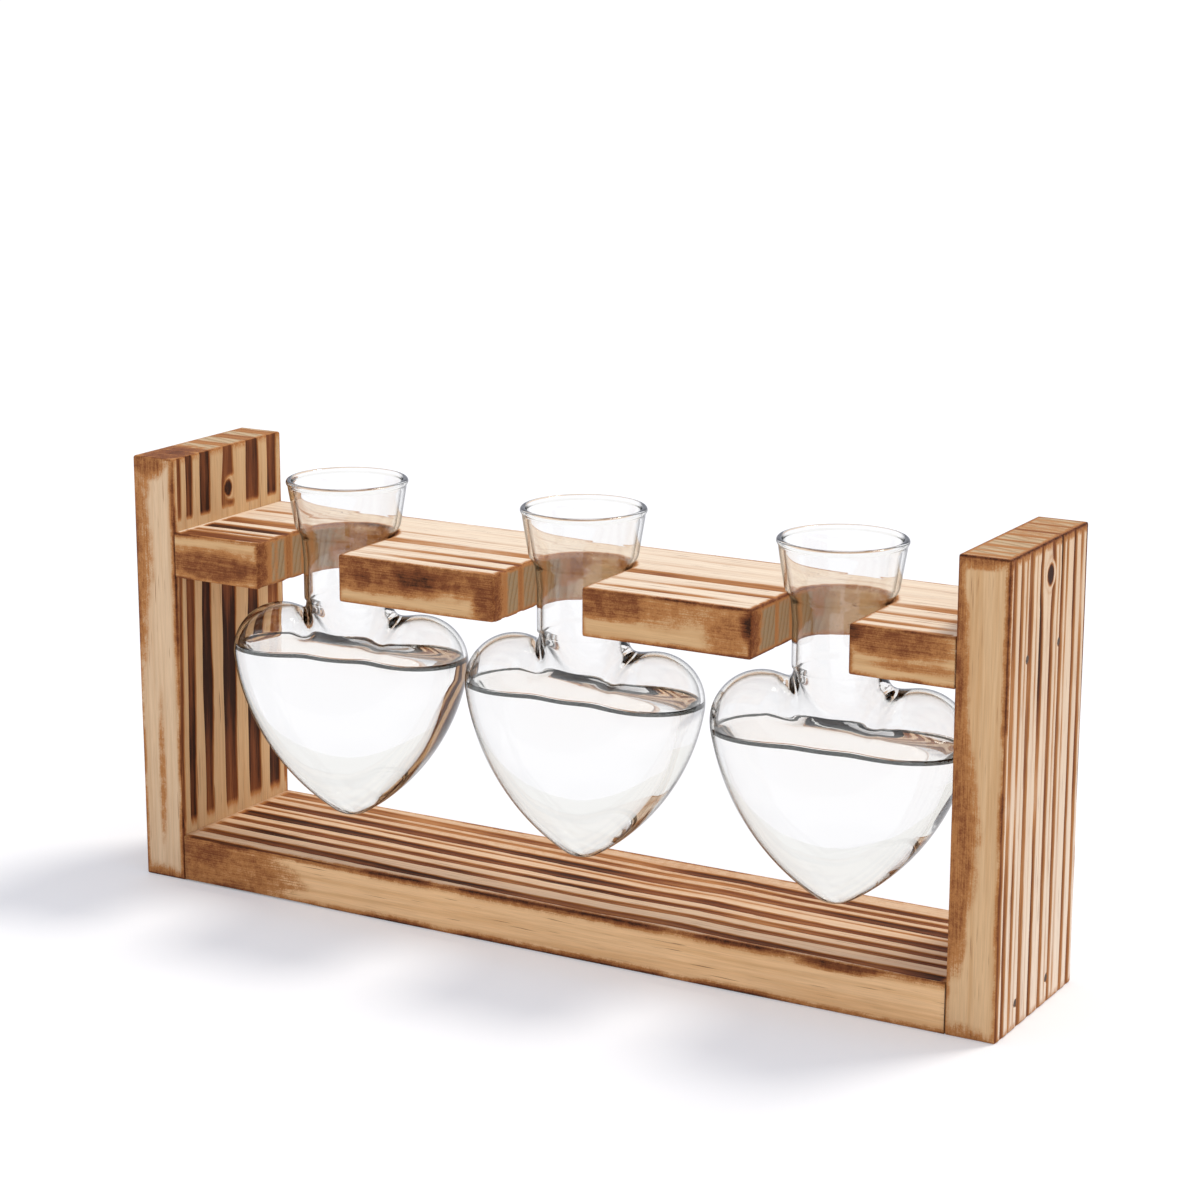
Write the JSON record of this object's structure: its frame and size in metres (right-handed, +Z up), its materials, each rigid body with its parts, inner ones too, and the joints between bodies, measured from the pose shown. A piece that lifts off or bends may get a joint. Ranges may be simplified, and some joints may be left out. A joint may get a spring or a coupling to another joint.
{
  "type": "propagation vase",
  "caption": "Low torched-wood stand whose slotted rail holds hanging heart-shaped glass vases side by side, each with a flared neck, for rooting stems in water.",
  "frame": {"origin": "middle of the stand's footprint, on the surface that it stands on", "axes": "+X along the stand, from its left end to its right as seen from the front; +Y from the slots' open side at the front to the back; +Z up"},
  "size_m": [0.309, 0.06, 0.144],
  "materials": {
    "torched_pine": "torched and wire-brushed, with dark stripes along the grain, unvarnished",
    "clear_glass": "clear, blown, fire-polished rim",
    "steel": "darkened"
  },
  "bodies": {
    "stand": {"left_upright": "torched_pine", "right_upright": "torched_pine", "base_board": "torched_pine", "vase_rail": "torched_pine", "rail_nail_left_front": "steel", "rail_nail_left_back": "steel", "rail_nail_right_front": "steel", "rail_nail_right_back": "steel", "base_nail_left_front": "steel", "base_nail_left_back": "steel", "base_nail_right_front": "steel", "base_nail_right_back": "steel"},
    "left_vase": {"vase_left": "clear_glass"},
    "middle_vase": {"vase_middle": "clear_glass"},
    "right_vase": {"vase_right": "clear_glass"}
  },
  "joints": [
    {"name": "left_vase_slide", "type": "slide", "parent": "stand", "child": "left_vase", "axis": [0, -1, 0], "range_m": [0, 0.08]},
    {"name": "middle_vase_slide", "type": "slide", "parent": "stand", "child": "middle_vase", "axis": [0, -1, 0], "range_m": [0, 0.08]},
    {"name": "right_vase_slide", "type": "slide", "parent": "stand", "child": "right_vase", "axis": [0, -1, 0], "range_m": [0, 0.08]}
  ]
}
